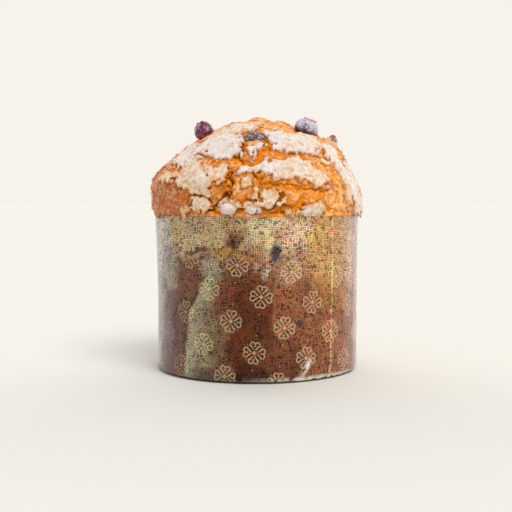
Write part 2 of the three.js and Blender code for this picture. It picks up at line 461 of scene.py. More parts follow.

# A punched vent at the foot of the front, as such moulds have, its edge painted near black as painted shade.
vent_turn = math.radians(-9.8)
vent_radius = 1.7 * mm
vent_shade_reach = 2.6 * mm
vent_place = Vector(on_ring(vent_turn, base_radius, 3.4 * mm))
bpy.ops.mesh.primitive_cylinder_add(
    vertices=24,
    radius=vent_radius,
    depth=8 * mm,
    location=vent_place,
    rotation=(math.pi / 2, 0, vent_turn),
)
punch = bpy.context.object
apply_modifier(band, "BOOLEAN", operation="DIFFERENCE", object=punch, solver="EXACT")
bpy.data.objects.remove(punch)
band.data.polygons.foreach_set("material_index", np.zeros(len(band.data.polygons), dtype=np.int32))
in_edit_mode(band, lambda: bpy.ops.mesh.normals_make_consistent(inside=False))
bpy.ops.object.shade_smooth_by_angle(angle=math.radians(50))
# Painted shade: the paper near the vent and the hole's sides set near black.
for point, tone_there in zip(band.data.vertices, band.data.attributes["tone"].data):
    if (point.co - vent_place).length < vent_shade_reach:
        tone_there.color = tint(34, 18, 12)


# Its printing: fine woven strokes over the whole sheet and small four-petalled flowers in slanted rows.
weave_pitch = 1.04 * mm
print_wobble = 1.6 * mm
print_tilt = math.radians(7.04)
flower_pitch_across = 33.1 * mm
flower_pitch_up = 34.1 * mm
first_flower = (16.8 * mm, 34.0 * mm, 0)
lobe_radius = 1.5 * mm
lobe_out = 5.0 * mm
lobe_aside = 1.5 * mm


def wobbly(where, along_sheet):
    """A coordinate of the sheet, pushed a little to and fro as the print is."""
    uneven = printed.noise(where, 5 * mm, detail=3)
    push = printed.math("MULTIPLY_ADD", uneven, print_wobble, -print_wobble / 2)
    return printed.math("ADD", along_sheet, push)


def woven_strokes(along_stroke, across_stroke):
    """Short straight strokes in rows a pitch apart, broken at random."""
    row = printed.math("DIVIDE", across_stroke, weave_pitch)
    row_number = printed.math("FLOOR", row)
    off_row = printed.apart(printed.math("FRACT", row), 0.5)
    stagger = printed.times(row_number, 0.37)
    run = printed.math("MULTIPLY_ADD", along_stroke, 0.62 / weave_pitch, stagger)
    cell = printed.joined(printed.math("FLOOR", run), row_number)
    chance = printed.add("ShaderNodeTexWhiteNoise", ("Vector", cell), noise_dimensions="2D").outputs["Value"]
    return printed.times(printed.step(chance, 0.35, 0.37), printed.step(off_row, 0.32, 0.14))


def line_from(away, half_width):
    """1 on a printed line, 0 beside it, from the distance to its middle."""
    return printed.step(away, half_width + 0.18 * mm, half_width - 0.12 * mm)


printed = Finish("printed_paper")
sheet = printed.add("ShaderNodeUVMap", uv_map="print").outputs[0]
sheet_across, sheet_up, _ = printed.split(sheet)
across = wobbly(sheet, sheet_across)
up = wobbly(printed.vector("ADD", sheet, (0.7, 0.3, 0)), sheet_up)
weave = printed.math("MAXIMUM", woven_strokes(across, up), woven_strokes(up, across))

# Nearest flower: its row and column in the slanted lattice, where every second row is set over by half.
slanted = printed.add(
    "ShaderNodeVectorRotate",
    ("Vector", sheet),
    ("Center", first_flower),
    ("Angle", print_tilt),
    rotation_type="Z_AXIS",
).outputs[0]
from_first = printed.vector("SUBTRACT", slanted, first_flower)
pitches = (flower_pitch_across, flower_pitch_up, 1)


def to_nearest(lattice_offset):
    """From the nearest flower of one of the two straight lattices that make the slanted rows."""
    moved = printed.vector("SUBTRACT", from_first, lattice_offset)
    counted = printed.vector("DIVIDE", moved, pitches)
    nearest = printed.vector("FLOOR", printed.vector("ADD", counted, (0.5, 0.5, 0.5)))
    return printed.vector("SUBTRACT", moved, printed.vector("MULTIPLY", nearest, pitches))


on_corners = to_nearest((0, 0, 0))
on_centres = to_nearest((flower_pitch_across / 2, flower_pitch_up / 2, 0))
corner_reach = printed.vector("LENGTH", on_corners)
centre_reach = printed.vector("LENGTH", on_centres)
corner_nearer = printed.math("LESS_THAN", corner_reach, centre_reach)
chosen_flower = printed.add(
    "ShaderNodeMix",
    (0, corner_nearer),
    (4, on_centres),
    (5, on_corners),
    data_type="VECTOR",
).outputs[1]
flower_reach = printed.math("MINIMUM", corner_reach, centre_reach)

# One petal stands for all four: distance out along the petal, and distance to its side.
folded_across, folded_up, _ = printed.split(printed.vector("ABSOLUTE", chosen_flower))
outward = printed.math("MAXIMUM", folded_across, folded_up)
sideways = printed.math("MINIMUM", folded_across, folded_up)
petal = printed.joined(outward, sideways)

# A petal's outline: a round lobe on each side of its tip, open towards the middle, and a straight side.
from_lobe = printed.vector("LENGTH", printed.vector("SUBTRACT", petal, (lobe_out, lobe_aside, 0)))
short_of_lobe = printed.math("LESS_THAN", outward, lobe_out)
beside_lobe = printed.math("LESS_THAN", sideways, lobe_aside + lobe_radius * 0.7)
open_side = printed.times(short_of_lobe, beside_lobe)
lobe_away = printed.math("ADD", printed.apart(from_lobe, lobe_radius), open_side)
side_run = Vector((-2.8 * mm, -2.3 * mm, 0))
side_offset = printed.vector("SUBTRACT", petal, (lobe_out, lobe_aside + lobe_radius, 0))
side_dot = printed.vector("DOT_PRODUCT", side_offset, side_run)
side_share = printed.math("DIVIDE", side_dot, side_run.length_squared, clamp=True)
side_foot = printed.vector("SCALE", side_run, scale=side_share)
side_away = printed.vector("LENGTH", printed.vector("SUBTRACT", side_offset, side_foot))
outline = line_from(printed.math("MINIMUM", lobe_away, side_away), 0.32 * mm)

# A dot inside each petal, a small star in the middle, faint ticks on the diagonals between the petals, and
# one dot above and one below the flower.
petal_dot = line_from(printed.vector("LENGTH", printed.vector("SUBTRACT", petal, (4.2 * mm, 0, 0))), 0.5 * mm)
star = line_from(printed.math("MULTIPLY_ADD", sideways, 1.3, outward), 1.6 * mm)
tick_reach = printed.math("SUBTRACT", printed.apart(flower_reach, 6.2 * mm), 0.5 * mm)
tick_away = printed.math("MAXIMUM", printed.apart(outward, sideways), tick_reach)
ticks = printed.times(line_from(tick_away, 0.35 * mm), 0.4)
flower_across, flower_up, _ = printed.split(chosen_flower)
dot_up = printed.math("SUBTRACT", printed.math("ABSOLUTE", flower_up), 10.6 * mm)
dots = line_from(printed.vector("LENGTH", printed.joined(flower_across, dot_up)), 0.35 * mm)
flower = outline
for detail in (petal_dot, star, ticks, dots):
    flower = printed.math("MAXIMUM", flower, detail)

# The flowers are worn, all but lost in the dry rim and weak at the left.
worn = printed.step(printed.noise(sheet, 3 * mm, detail=3), 0.3, 0.5)
below_rim = printed.step(sheet_up, 84 * mm, 70 * mm)
flower = printed.times(flower, printed.scaled(worn, 0.55, 1.0))
flower = printed.times(flower, printed.scaled(below_rim, 0.15, 0.76))
flower = printed.times(flower, printed.scaled(printed.mark("faint"), 1.0, 0.35))
flower_ground = printed.step(flower_reach, 9.5 * mm, 6 * mm)

# The sheet's own tone, the strokes paler and the gaps between them darker. The ink of the flowers is pale
# too, a little stained by the sheet, and the whole is blotched and fibrous.
paper_tone = printed.mark("tone", output="Color")
dryness = printed.mark("dry")
fibres = printed.noise(sheet, 0.7 * mm, detail=4, rough=0.7)
contrast = printed.scaled(dryness, 0.9, 0.88)
gap_share = printed.math("MULTIPLY_ADD", contrast, -0.72, 1.0)
stroke_share = printed.math("MULTIPLY_ADD", contrast, 0.62, 1.0)
gap_tone = printed.vector("SCALE", paper_tone, scale=gap_share)
gap_tone = printed.vector("MULTIPLY", gap_tone, (1.1, 0.95, 0.85))
stroke_tone = printed.vector("SCALE", paper_tone, scale=stroke_share)
stroke_tone = printed.vector("MULTIPLY", stroke_tone, (0.98, 1.0, 1.04))
paper_shade = printed.mix(weave, gap_tone, stroke_tone)
ground_share = printed.times(flower_ground, printed.scaled(dryness, 0.1, 0.45))
paper_shade = printed.mix(ground_share, paper_shade, (0.95, 1.0, 0.62, 1), mode="MULTIPLY")
ink = printed.mix(dryness, tint(210, 196, 158), tint(206, 208, 166))
ink = printed.mix(0.3, ink, printed.vector("SCALE", paper_tone, scale=2.2))
paper_shade = printed.mix(flower, paper_shade, ink)
paper_shade = printed.vector("SCALE", paper_shade, scale=printed.scaled(fibres, 0.72, 1.28))
blotch = printed.noise(sheet, 4.2 * mm, detail=4, output="Color")
blotch = printed.vector("ADD", printed.vector("MULTIPLY", blotch, (0.9, 0.8, 1.1)), (0.55, 0.6, 0.42))
paper_shade = printed.vector("MULTIPLY", paper_shade, blotch)
# Rubbed white fibres at the lower edge, with the painted highlight on the short fold's crest.
rubbed_and_highlight_amount = printed.times(printed.mark("rubbed_and_highlight"), printed.step(fibres, 0.3, 0.46))
paper_shade = printed.layered(paper_shade, (rubbed_and_highlight_amount, (242, 236, 226), 1.0))
paper_gloss = printed.scaled(printed.math("MULTIPLY_ADD", fibres, 0.3, dryness), 0.22, 0.4)
print_relief = printed.math("MULTIPLY_ADD", fibres, 0.5, printed.math("MAXIMUM", weave, flower))
band.data.materials.clear()
band.data.materials.append(
    printed.finish(
        Base_Color=paper_shade,
        Roughness=paper_gloss,
        Normal=printed.bump(print_relief, 0.06 * mm),
        IOR=1.5,
        Specular_IOR_Level=0.2,
        Sheen_Weight=0.6,
        Sheen_Roughness=0.3,
        Sheen_Tint=(0.93, 0.93, 1.0, 1.0),
    )
)
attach(band, "root")
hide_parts("mould_wall")


# Loaf. One baked piece of rich yeast dough: it filled the mould and mushroomed over the rim. The dome was
# brushed with almond glaze and dusted with sugar, which cracked into pale ragged plates as it rose, with
# bare orange crumb torn open between them.
dome_centre = Vector((0, 0, 95 * mm))
dome_radius = 64 * mm
crust_radius = 66 * mm
cut_height = 100.4 * mm
crumb_grid = 0.7 * mm
crumb_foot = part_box("loaf")[0].z + 0.5 * mm

# The fruit and nuts pressed into it: half sizes in mm, and tilts about X and then Y in degrees.
toppings = {
    "blueberry_right": ((7.9, 7.6, 6.7), (10, 22)),
    "blueberry_left": ((6.5, 6.3, 5.9), (-12, -18)),
    "blueberry_top": ((7.8, 5.6, 4.6), (48, 0)),
    "blueberry_rim_left": ((6.0, 4.4, 5.2), (76, -6)),
    "blueberry_rim_right": ((6.6, 4.0, 5.0), (80, 8)),
    "blueberry_back_right": ((7.2, 7.0, 6.2), (-30, 14)),
    "blueberry_back_left": ((6.8, 6.6, 6.0), (-26, -34)),
    "almond_right": ((4.6, 3.9, 6.4), (8, 24)),
    "almond_back": ((4.4, 3.8, 6.6), (-52, -6)),
}


def topping_place(name):
    """The centre of a berry or nut, and the axes that stretch and turn a unit ball into it."""
    half, (tilt_x, tilt_y) = toppings[name]
    low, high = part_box(name)
    turned = Matrix.Rotation(math.radians(tilt_x), 3, "X") @ Matrix.Rotation(math.radians(tilt_y), 3, "Y")
    return (low + high) / 2, turned @ Matrix.Diagonal([h * mm for h in half])


def reach_in(axes, from_centre):
    """How far out each place lies in a berry or nut, whose own skin is at 1."""
    return np.linalg.norm(from_centre @ np.array(axes.inverted()).T, axis=1)


crumb = bpy.data.objects.new("crumb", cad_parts["loaf"].data.copy())
bpy.context.scene.collection.objects.link(crumb)
in_edit_mode(crumb, lambda: bpy.ops.mesh.remove_doubles(threshold=0.01 * mm))
apply_modifier(crumb, "REMESH", mode="VOXEL", voxel_size=crumb_grid)
apply_modifier(crumb, "SMOOTH", factor=0.5, iterations=8)


def plug_into_mould():
    """Keeps the dome and carries its cut edge down inside the paper to the base as a plain plug."""
    step_in = 1 * mm
    down = cut_height - crumb_foot - step_in
    bpy.ops.mesh.bisect(plane_co=(0, 0, cut_height), plane_no=(0, 0, 1), clear_inner=True)
    bpy.ops.mesh.extrude_region_move(TRANSFORM_OT_translate={"value": (0, 0, -step_in)})
    bpy.ops.transform.resize(value=(0.96, 0.96, 1), center_override=(0, 0, cut_height))
    bpy.ops.mesh.extrude_region_move(TRANSFORM_OT_translate={"value": (0, 0, -down)})
    bpy.ops.mesh.edge_face_add()


in_edit_mode(crumb, plug_into_mould)


def from_dome(azimuth, climb):
    """The direction out of the dome's centre at an azimuth and a climb above the level, in degrees."""
    turn, rise = math.radians(azimuth), math.radians(climb)
    return Vector((math.sin(turn) * math.cos(rise), -math.cos(turn) * math.cos(rise), math.sin(rise)))


skin = places_of(crumb)
facing = np.zeros(skin.size)
crumb.data.vertices.foreach_get("normal", facing)
facing = facing.reshape(-1, 3)
on_dome = skin[:, 2] > cut_height + 0.2 * mm
edges = np.zeros(len(crumb.data.edges) * 2, dtype=np.int32)
crumb.data.edges.foreach_get("vertices", edges)
edges = edges.reshape(-1, 2)
ends = np.concatenate([edges[:, 0], edges[:, 1]])
others = np.concatenate([edges[:, 1], edges[:, 0]])
neighbours = np.maximum(np.bincount(ends, minlength=len(skin)), 1)


def rays_to(places):
    """The directions of the places from the dome's centre."""
    rays = places - np.array(dome_centre)
    return rays / np.linalg.norm(rays, axis=1)[:, None]


def evened(amounts, rounds):
    """The amounts with each point averaged with its neighbours, again and again."""
    for _ in range(rounds):
        summed = np.bincount(ends, weights=amounts[others], minlength=len(skin))
        amounts = 0.4 * amounts + 0.6 * summed / neighbours
    return amounts


# Ragged warping shared by the plates and the cracks.
coarse = np.stack([lumps(skin, 8 * mm, 2, seed=s) for s in (21, 22, 23)], axis=1)
fine = np.stack([lumps(skin, 2.6 * mm, 2, seed=s) for s in (24, 25, 26)], axis=1)
warped = skin + coarse * 3.2 * mm + fine * 1.9 * mm
rays = rays_to(skin)
warped_rays = rays_to(warped)

# Plates of glaze. Those on the front are placed one by one, as are the last three, behind the crown; the rest
# fall as they may. Each row says: azimuth and climb in degrees, half width and half height in mm, tilt in
# degrees, and how white the sugar lies on it.
plates = [
    (-34, 48, 13, 9, 10, 0.95),
    (-22, 44, 9, 9, -10, 0.95),
    (-58, 40, 10, 8, 0, 0.8),
    (-48, 35, 8, 5, 0, 0.9),
    (-36, 25, 12, 8, 0, 0.45),
    (-23, 27, 8, 6, 10, 0.3),
    (-31, 19, 7, 5, 0, 0.35),
    (-57, 24, 9, 3, 0, 0.3),
    (17, 50, 7, 11, 0, 0.85),
    (30, 46, 12, 9, 0, 0.75),
    (44, 50, 8, 8, 0, 0.6),
    (8, 31, 10, 5, 8, 0.9),
    (20, 29, 13, 7, 0, 0.55),
    (31, 25, 12, 5, -14, 0.35),
    (-2, 29, 7, 4, 0, 0.8),
    (0, 43, 5.4, 3.0, 12, 1.0),
    (-5, 37.5, 5.8, 3.0, 0, 1.0),
    (-33, 60, 11, 7, 0, 0.6),
    (-20, 66, 9, 6, 0, 0.7),
    (-6, 70, 5, 4, 0, 0.15),
    (4, 15, 6, 5, -10, 0.3),
    (10, 12, 4, 5, 0, 0.1),
    (28, 8, 7, 4, -10, 0.5),
    (33, 10, 4, 3, 0, 0.3),
    (19, 7, 4, 2, 0, 0.2),
    (-30, 11, 7, 4, 0, 0.3),
    (-41, 9, 3, 2, 0, 0.2),
    (-6, 22, 3, 2.2, 0, 0.2),
    (57, 39, 6, 7, 0, 0.8),
    (62, 28, 8, 7, 20, 0.75),
    (67, 18, 7, 8, -12, 0.8),
    (73, 31, 3, 5, 10, 0.6),
    (71, 9, 9, 5, 8, 0.85),
    (86, 20, 6, 8, 10, 0.8),
    (84, 31, 5, 10, 0, 0.7),
    (57, 16, 3, 6, 6, 0.3),
    (47, 34, 4, 3, 0, 0.1),
    (-84, 35, 8, 6, 0, 0.5),
    (-81, 13, 6, 4, 8, 0.3),
    (100, 74, 9, 6, 0, 0.6),
    (-110, 73, 10, 7, 0, 0.5),
    (165, 79, 8, 6, 0, 0.8),
]
scatter = random.Random(7)
front_turn = 88
plate_count = 92
tear_count = 34
while len(plates) < plate_count:
    guess_turn = scatter.uniform(-180, 180)
    guess_climb = math.degrees(math.asin(scatter.uniform(0.12, 1.0)))
    guess_wide = scatter.uniform(3, 11)
    guess_high = guess_wide * scatter.uniform(0.45, 0.9)
    guess_tilt = scatter.uniform(-25, 25)
    guess_white = scatter.uniform(0.1, 1.0)
    if guess_climb > 78 or abs(guess_turn) < front_turn:
        continue
    guess_way = from_dome(guess_turn, guess_climb)
    gaps = [
        guess_way.angle(from_dome(plate_turn, plate_climb)) * crust_radius / mm - (wide + high) / 2
        for plate_turn, plate_climb, wide, high, _, _ in plates
    ]
    if min(gaps) > guess_wide * 0.72:
        plates.append((guess_turn, guess_climb, guess_wide, guess_high, guess_tilt, guess_white))

# The plate field is how far a point lies inside the nearest plate's edge, in mm, and below 0 off the plates.
plate_spread = 1.2
off_plates = -9.0
plate_field = np.full(len(skin), off_plates)
white_field = np.zeros(len(skin))
for plate_turn, plate_climb, wide, high, tilt, white in plates:
    nearest = int(np.argmax(rays @ np.array(from_dome(plate_turn, plate_climb)) * on_dome))
    out = Vector(facing[nearest])
    side = Vector((math.cos(math.radians(plate_turn)), math.sin(math.radians(plate_turn)), 0))
    side = (side - out * side.dot(out)).normalized()
    side.rotate(Matrix.Rotation(math.radians(tilt), 3, out))
    rising = out.cross(side)
    offset = (warped - skin[nearest]) / mm
    level_share = np.abs(offset @ np.array(side)) / (wide * plate_spread)
    rising_share = np.abs(offset @ np.array(rising)) / (high * plate_spread)
    inward = (1 - (level_share ** 3 + rising_share ** 3) ** (1 / 3)) * min(wide, high)
    inward = np.where(np.abs(offset @ np.array(out)) < 12, inward, off_plates)
    white_field = np.where(inward > plate_field, white, white_field)
    plate_field = np.maximum(plate_field, inward)
white_field = evened(white_field, 12)
plate_field -= 3.0 * smooth(lumps(skin, 5 * mm, 3, seed=27), 0.26, 0.55)

# Tears between the plates, the last four of them broad, shallow hollows. Each row says: half width and depth
# in mm, and a run of azimuths and climbs. More are scattered at the sides and behind.
tears = [
    (1.4, 2.2, [(-22, 56), (-18, 61), (-9, 62)]),
    (1.8, 3.0, [(-12, 58), (-10, 50), (-11, 43), (-12, 37), (-9, 33), (-3, 32), (2, 34), (4, 38)]),
    (1.6, 2.6, [(9, 53), (8, 47), (7, 42), (5, 38)]),
    (1.0, 1.6, [(10, 39), (16, 37), (23, 37), (30, 35)]),
    (0.9, 1.4, [(-29, 34), (-20, 32), (-14, 35)]),
    (0.9, 1.4, [(-57, 31), (-43, 34), (-38, 31)]),
    (1.8, 4.4, [(-14, 28), (-14, 22), (-15, 17), (-19, 12), (-24, 8)]),
    (1.8, 2.6, [(-21, 9), (-14, 12), (-8, 10), (-3, 12), (5, 9), (9, 11), (12, 15)]),
    (1.4, 2.8, [(-1, 26), (8, 21), (13, 19), (19, 20), (25, 18), (37, 17)]),
    (1.6, 2.4, [(4, 5), (13, 8), (20, 10), (25, 13)]),
    (1.2, 2.0, [(37, 5), (40, 11)]),
    (1.0, 1.6, [(-42, 14), (-31, 14), (-25, 13)]),
    (1.2, 1.8, [(66, 44), (68, 38)]),
    (0.9, 1.3, [(48, 44), (50, 30), (47, 16)]),
    (5.0, 1.0, [(-15, 24), (-17, 14), (-6, 12)]),
    (4.0, 0.9, [(4, 22), (20, 18), (36, 14)]),
    (4.0, 0.9, [(-12, 48), (-8, 33), (9, 44)]),
    (3.5, 0.8, [(2, 8), (18, 10), (38, 8)]),
]
for _ in range(tear_count):
    tear_turn = scatter.uniform(front_turn, 360 - front_turn)
    tear_climb = scatter.uniform(8, 70)
    run = [(tear_turn, tear_climb)]
    for _ in range(scatter.randint(2, 4)):
        tear_turn += scatter.uniform(-13, 13)
        tear_climb += scatter.uniform(-8, 8)
        run.append((tear_turn, max(tear_climb, 5)))
    tears.append((scatter.uniform(0.8, 1.8), scatter.uniform(1.2, 2.6), run))

torn_depth = np.zeros(len(skin))
for wide, deep, run in tears:
    for (turn_a, climb_a), (turn_b, climb_b) in zip(run, run[1:]):
        start = np.array(from_dome(turn_a, climb_a))
        way = np.array(from_dome(turn_b, climb_b)) - start
        share = np.clip((warped_rays - start) @ way / max(way @ way, 1e-9), 0, 1)
        away = np.linalg.norm(warped_rays - start - share[:, None] * way, axis=1) * dome_radius / mm
        torn_depth = np.maximum(torn_depth, deep * hill(away, 0, wide))
plate_field -= 2.2 * np.maximum(torn_depth - 0.9, 0)

# Glaze also ran round the two berries at the rim.
for name in ("blueberry_rim_left", "blueberry_rim_right"):
    centre, axes = topping_place(name)
    from_berry = warped * 0.4 + skin * 0.6 - np.array(centre)
    reach = reach_in(axes, from_berry)
    collar = np.where(from_berry[:, 2] > 1 * mm, 1.0 - np.abs(reach - 1.2) / 0.25, off_plates)
    white_field = np.where(collar > plate_field, 0.55, white_field)
    plate_field = np.maximum(plate_field, collar)


def to_grain(size):
    """How far each point is from the middle of the nearest grain, for grains of that size."""
    return np.array([noise.voronoi(Vector(p) / size)[0][0] for p in skin])


# Relief, in mm: soft swellings, crumbly grains between the plates, pores and small blisters on them.
swelling = lumps(skin, 17 * mm, 3, seed=31) * 1.1
knobbly = lumps(skin, 6 * mm, 4, seed=32)
grains = to_grain(2.1 * mm)
specks = to_grain(1.3 * mm)
pores = to_grain(3.4 * mm)
on_plate = smooth(plate_field, -0.35, 0.55)
lip = hill(plate_field, 0.9, 0.8)
bare = 1 - on_plate
plate_thick = 1.0 + 0.35 * lumps(skin, 9 * mm, 2, seed=33)
plate_relief = plate_thick + 0.25 * lip + 0.25 * knobbly + 0.12 * lumps(skin, 1.8 * mm, 3, seed=34)
plate_relief = plate_relief - 0.45 * (1 - smooth(pores, 0.12, 0.3)) * smooth(knobbly, -0.1, 0.3)
crumb_relief = 0.85 * knobbly - 0.45 * grains - 0.2 * specks + 0.1
relief = swelling - 0.7 + on_plate * plate_relief + bare * crumb_relief

# Then a small knob where the dough rose last, and the tears. It all fades out at the rim, where the paper
# holds the crust.
from_knob = np.linalg.norm(skin[:, :2] - (2 * mm, -3 * mm), axis=1)
relief = relief + 1.8 * hill(from_knob, 0, 6 * mm) * (skin[:, 2] > 130 * mm)
relief = relief - torn_depth * (0.35 + 0.65 * bare) * (0.7 + 0.5 * knobbly)
relief = relief * smooth(skin[:, 2], cut_height + 0.4 * mm, cut_height + 2.6 * mm)
raised = skin + facing * relief[:, None] * mm

# Where it hangs over the rim, its edge sags unevenly down outside the paper.
outer = np.hypot(raised[:, 0], raised[:, 1])
overhang = smooth(outer, 67.0 * mm, 67.8 * mm) * (1 - smooth(skin[:, 2], 103 * mm, 107 * mm))
sag = overhang * smooth(lumps(skin, 5 * mm, 3, seed=36), -0.25, 0.45) * 3.0 * mm
raised[:, 2] -= sag * (skin[:, 2] > cut_height + 0.6 * mm)

# The crumb grips the fruit: its sockets close up on them, with a slightly lifted lip (in mm), except where
# a heavy berry sank in and left a hollow.
plain_lip = 0.35
lips = {
    "blueberry_right": -3.6,
    "blueberry_left": -1.0,
    "blueberry_rim_left": 0.6,
    "blueberry_rim_right": 0.6,
}
for name in toppings:
    centre, axes = topping_place(name)
    from_centre = raised - np.array(centre)
    reach = reach_in(axes, from_centre)
    grip = (1 - smooth(reach, 1.12, 1.4)) * on_dome
    socket = 0.94 if "rim" in name else 1.0
    raised = raised + from_centre * (grip * (socket / np.maximum(reach, 0.5) - 1))[:, None]
    lip_height = lips.get(name, plain_lip) * mm * (1 + 0.8 * knobbly)
    lifted = hill(reach, 1.3, 0.22) * on_dome
    raised = raised + facing * (lifted * lip_height)[:, None]
move_to(crumb, raised)

# What the material reads at each point. The crust is redder and darker at the lower left and lighter and more
# golden on the right, partly its bake and partly painted shade and painted light, as the lamp stands at the
# right. It is dark in a
# few spots: azimuth, height in mm, half width in degrees, half height in mm, strength.
# Hollow: how far each point lies below the average round it. The material paints shade in the hollows and
# highlight on the crests from it.
hollow = relief - evened(relief, 14)
# Below the rim, inside the paper, the plug is marked as deep as can be, so it takes the darkest painted
# shade.
set_mark(crumb, "hollow", np.where(skin[:, 2] < cut_height, -2, hollow))
set_mark(crumb, "plate", np.clip(plate_field, -6, 6))
set_mark(crumb, "white", white_field)
set_mark(crumb, "torn", torn_depth)
crumb_azimuth = np.degrees(np.arctan2(skin[:, 0], -skin[:, 1]))
reddened_and_shaded = hill(crumb_azimuth, -62, 26) * (1 - smooth(skin[:, 2], 125 * mm, 140 * mm))
set_mark(crumb, "reddened_and_shaded", np.clip(reddened_and_shaded + 0.35 * lumps(skin, 16 * mm, 2, seed=35), 0, 1))
golden_and_lit = smooth(crumb_azimuth, -40, 35) * (1 - smooth(np.abs(crumb_azimuth), 120, 160))
set_mark(crumb, "golden_and_lit", np.clip(golden_and_lit + 0.3 * lumps(skin, 13 * mm, 2, seed=37), 0, 1))
# The broad rows low on the front, at -10, 8 and 12 degrees, are painted shade; the rest are toasted spots.
toasted_and_shaded_spots = [
    (-17, 114, 4, 7, 1.0),
    (-10, 107, 14, 4, 0.6),
    (8, 108, 10, 4, 0.5),
    (-30, 121, 4, 2, 0.5),
    (12, 120, 16, 4, 0.5),
    (-10, 126, 7, 5, 0.4),
]
toasted_and_shaded = np.zeros(len(skin))
for spot_turn, spot_height, wide, high, strength in toasted_and_shaded_spots:
    spot = hill(crumb_azimuth, spot_turn, wide) * hill(skin[:, 2] / mm, spot_height, high)
    toasted_and_shaded = np.maximum(toasted_and_shaded, strength * spot)
set_mark(crumb, "toasted_and_shaded", toasted_and_shaded * smooth(coarse[:, 0], -0.5, 0.2))
in_edit_mode(crumb, lambda: bpy.ops.mesh.normals_make_consistent(inside=False))
bpy.ops.object.shade_smooth()

glazed = Finish("glazed_crumb")
here = glazed.place()
plate_mark = glazed.mark("plate")
hollow_mark = glazed.mark("hollow")
torn_mark = glazed.mark("torn")
fine_noise = glazed.noise(here, 1.1 * mm, detail=4, rough=0.65)
middle_noise = glazed.noise(here, 2.8 * mm, detail=4, rough=0.6)
fine_grain = glazed.step(fine_noise, 0.36, 0.64)
middle_grain = glazed.step(middle_noise, 0.38, 0.62)
broad_grain = glazed.step(glazed.noise(here, 11 * mm, detail=3), 0.38, 0.62)
bits_push = glazed.vector("SCALE", glazed.noise(here, 2.2 * mm, detail=3, output="Color"), scale=2.4 * mm)
bits_colour = glazed.cells(glazed.vector("ADD", here, bits_push), 2.0 * mm, output="Color")
bits = glazed.add("ShaderNodeSeparateColor", (0, bits_colour)).outputs[0]

# Bare crumb: orange, redder at the lower left and more golden on the right, with painted shade in its hollows
# and just outside the plates' edges and a painted highlight on its crests. In each list the first layer lies
# lowest.
# Painted light and shade by side: more golden and less shaded on the right, redder and darker at the lower
# left.
golden_and_lit_share = glazed.times(glazed.mark("golden_and_lit"), 0.62)
red_and_shade_share = glazed.times(glazed.mark("reddened_and_shaded"), 0.85)
browner = glazed.step(glazed.noise(here, 5 * mm, detail=4, rough=0.6), 0.52, 0.64)
tear_share = glazed.step(torn_mark, 0.25, 1.25)
fine_light = glazed.times(fine_grain, glazed.scaled(tear_share, 0.34, 0.08))
light_bits = glazed.times(glazed.step(bits, 0.64, 0.72), glazed.scaled(tear_share, 0.6, 0.15))
dark_bits = glazed.step(bits, 0.32, 0.24)
# Painted highlight on the crests; painted shade in the hollows, darkest in the deepest, weaker on the golden
# right; painted shadow just outside the plates.
crest_highlight = glazed.step(hollow_mark, 0.1, 0.7)
crest_painted_highlight = glazed.times(crest_highlight, glazed.scaled(fine_grain, 0.15, 0.75))
shaded = glazed.times(glazed.step(hollow_mark, 0.05, -0.5), glazed.scaled(golden_and_lit_share, 0.65, 0.25))
deep = glazed.step(hollow_mark, -0.32, -0.85)
deep_painted_shade = glazed.times(deep, glazed.scaled(golden_and_lit_share, 0.85, 0.3))
plate_edge_shadow = glazed.times(glazed.step(plate_mark, -1.5, -0.3), glazed.scaled(middle_grain, 0.8, 0.15))
crumb_shade = glazed.layered(
    glazed.mix(middle_grain, tint(204, 102, 10), tint(246, 152, 54)),
    (broad_grain, (232, 134, 44), 0.4),
    (golden_and_lit_share, (255, 172, 78), 1.0),
    (red_and_shade_share, (182, 100, 72), 1.0),
    (browner, (186, 92, 48), 0.6),
    (fine_light, (255, 204, 146), 1.0),
    (light_bits, (255, 208, 150), 1.0),
    (dark_bits, (160, 76, 2), 0.4),
    (crest_painted_highlight, (255, 210, 160), 1.0),
    (tear_share, (244, 144, 4), 0.75),
    (red_and_shade_share, (164, 84, 58), 0.5),
    (shaded, (214, 116, 4), 1.0),
    (deep_painted_shade, (94, 44, 0), 1.0),
    (plate_edge_shadow, (156, 76, 4), 1.0),
    (glazed.mark("toasted_and_shaded"), (124, 64, 14), 0.7),
)

# Glaze: cream, dusted white, golden where it thins out at its edges and in its pores.
edge_grain = glazed.math("MULTIPLY_ADD", fine_grain, 0.9, -0.45)
glaze_depth = glazed.math("ADD", plate_mark, edge_grain)
glaze_cover = glazed.step(glaze_depth, -0.2, 0.2)
thin_edge = glazed.step(glaze_depth, 2.2, 0.2)
pale_bits = glazed.step(bits, 0.6, 0.7)
dust_grain = glazed.math("MULTIPLY_ADD", fine_grain, 0.3, glazed.mark("white"))
dust = glazed.step(glazed.math("MULTIPLY_ADD", middle_grain, 0.4, dust_grain), 0.74, 1.35)
stained = glazed.step(glazed.noise(here, 4.5 * mm, detail=4, rough=0.6), 0.5, 0.64)
stained = glazed.times(stained, glazed.scaled(glazed.mark("white"), 0.55, 0.22))
crumb_on_glaze = glazed.times(glazed.step(bits, 0.2, 0.14), glazed.step(fine_noise, 0.42, 0.52))
speckled = glazed.step(fine_noise, 0.5, 0.38)
pit = glazed.times(glazed.step(hollow_mark, -0.08, -0.6), glazed.scaled(fine_grain, 0.7, 0.2))
glaze_shade = glazed.layered(
    glazed.mix(middle_grain, tint(216, 190, 156), tint(230, 216, 194)),
    (broad_grain, (230, 196, 162), 0.35),
    (pale_bits, (238, 228, 212), 0.5),
    (thin_edge, (232, 166, 98), 0.85),
    (dust, (227, 225, 228), 0.82),
    (stained, (228, 178, 122), 1.0),
    (crumb_on_glaze, (206, 138, 76), 0.6),
    (speckled, (204, 186, 178), 0.4),
    (pit, (204, 134, 80), 1.0),
)
